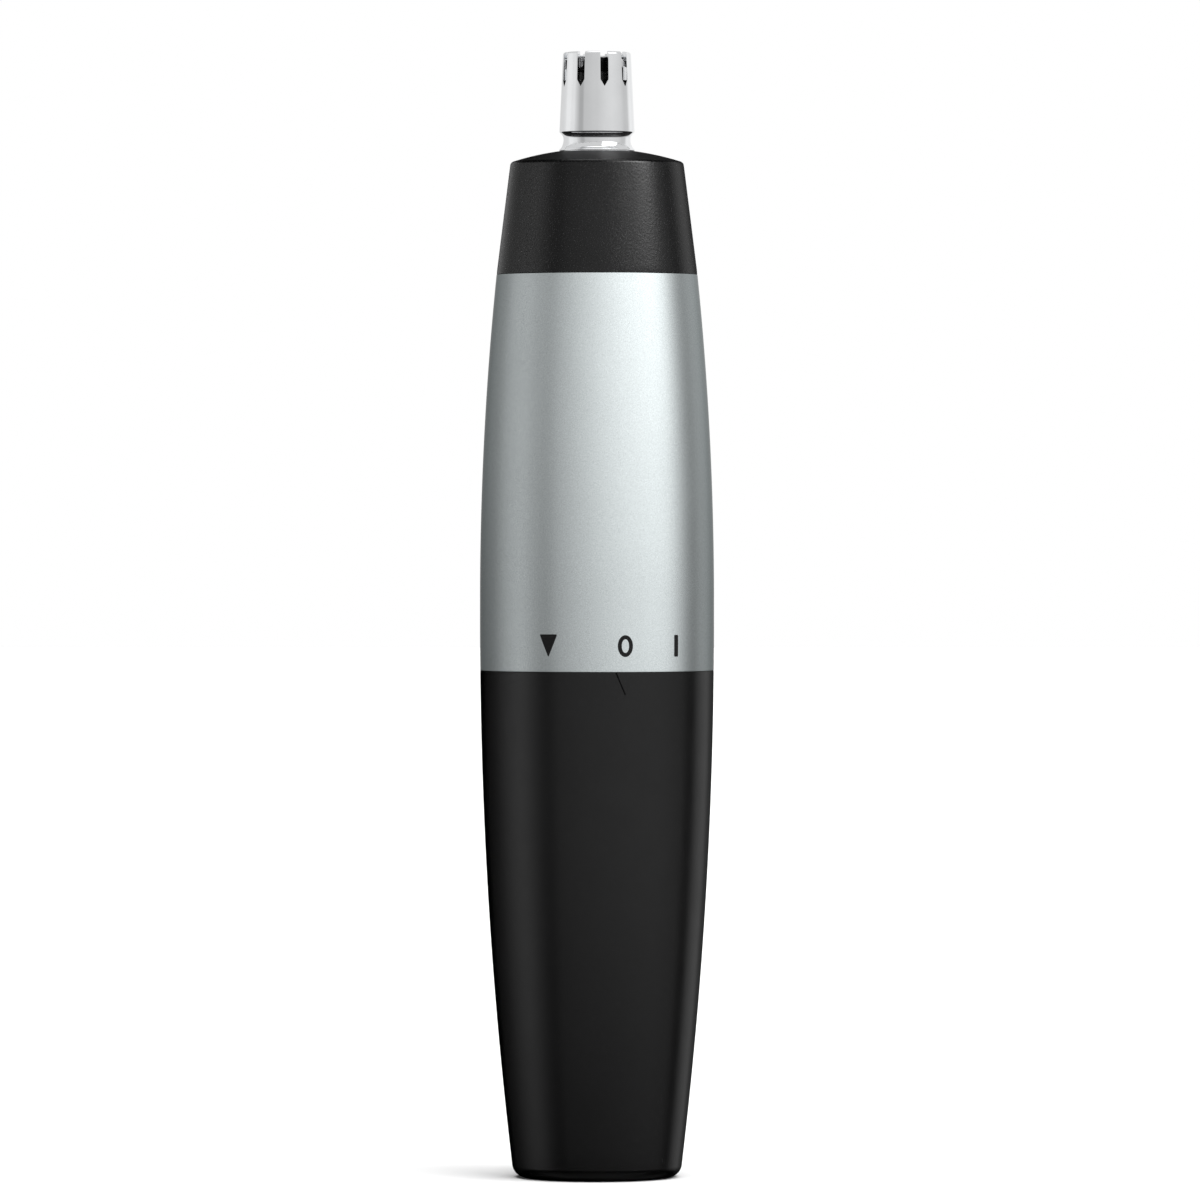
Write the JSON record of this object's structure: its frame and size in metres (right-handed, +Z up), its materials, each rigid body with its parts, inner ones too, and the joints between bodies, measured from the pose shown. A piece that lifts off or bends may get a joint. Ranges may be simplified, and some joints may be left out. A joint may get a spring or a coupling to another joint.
{
  "type": "nose hair trimmer",
  "caption": "Slim upright battery trimmer with a slotted rotary cutter tube, a lift-off head and a twist barrel that switches it and pulls off to free the cell.",
  "frame": {"origin": "centre of the flat bottom of the battery barrel, where the trimmer stands", "axes": "+Z up along the body to the cutter, -Y to the front with the switch marks, +X to the right seen from the front"},
  "size_m": [0.026, 0.026, 0.1249],
  "materials": {
    "barrel_plastic": "satin moulded ABS, black",
    "cap_plastic": "fine grained ABS, black",
    "sleeve_paint": "satin silver metallic paint",
    "guard_chrome": "bright plated, polished",
    "cutter_steel": "ground stainless steel",
    "spring_steel": "drawn wire and stamped spring steel",
    "frame_plastic": "moulded ABS, dark grey",
    "acetal": "low friction acetal, off-white",
    "rubber": "nitrile rubber, matt",
    "nickel_contact": "nickel plated strip",
    "cell_can": "plated can, light enough to stand in for a full cell",
    "cell_cap": "nickel plated cap",
    "cell_wrap": "printed shrink film, plain",
    "motor_steel": "zinc plated drawn steel",
    "core_steel": "stacked laminations",
    "copper": "enamelled copper",
    "bearing_bronze": "sintered bronze and brush alloy",
    "magnet": "ferrite, dull dark grey",
    "wire_red": "soft insulation, red",
    "wire_black": "soft insulation, black"
  },
  "bodies": {
    "main": {"main_sleeve": "sleeve_paint", "chassis": "frame_plastic", "switch_collar": "frame_plastic", "barrel_o_ring": "rubber", "head_o_ring": "rubber", "shaft_seal": "rubber", "positive_contact": "nickel_contact", "switch_contact": "nickel_contact", "wire_positive": "wire_red", "wire_negative": "wire_black", "motor_can": "motor_steel", "motor_end_bell": "frame_plastic", "motor_bearing_upper": "bearing_bronze", "motor_bearing_lower": "bearing_bronze", "magnet_left": "magnet", "magnet_right": "magnet", "brush_left": "bearing_bronze", "brush_right": "bearing_bronze"},
    "battery": {"battery_can": "cell_can", "battery_wrap": "cell_wrap", "battery_positive_cap": "cell_cap"},
    "barrel": {"battery_barrel": "barrel_plastic", "negative_spring": "nickel_contact", "negative_strip": "nickel_contact"},
    "head": {"head_cap": "cap_plastic", "cutter_guard": "guard_chrome", "guard_clip": "spring_steel", "cutter_bush": "acetal", "cutter_spring": "spring_steel"},
    "motor_rotor": {"motor_shaft": "motor_steel", "armature_core": "core_steel", "winding_1": "copper", "winding_2": "copper", "winding_3": "copper", "commutator": "copper", "drive_coupler": "acetal"},
    "cutter": {"cutter_stem": "acetal", "drive_dog": "acetal", "blade_rotor": "cutter_steel"}
  },
  "joints": [
    {"name": "barrel_pull", "type": "slide", "parent": "main", "child": "battery", "axis": [0, 0, 1], "range_m": [-0.03, 0]},
    {"name": "barrel_twist", "type": "hinge", "parent": "battery", "child": "barrel", "pos_m": [0, 0, 0], "axis": [0, 0, 1], "range_deg": [-39, 28.5]},
    {"name": "head_lift", "type": "slide", "parent": "main", "child": "head", "axis": [0, 0, 1], "range_m": [0, 0.03]},
    {"name": "motor_spin", "type": "hinge", "parent": "main", "child": "motor_rotor", "pos_m": [0, 0, 0.075], "axis": [0, 0, 1], "continuous": true},
    {"name": "cutter_spin", "type": "hinge", "parent": "head", "child": "cutter", "pos_m": [0, 0, 0.11], "axis": [0, 0, 1], "continuous": true}
  ],
  "couplings": [
    {"joint": "cutter_spin", "follows": "motor_spin", "ratio": 1}
  ]
}
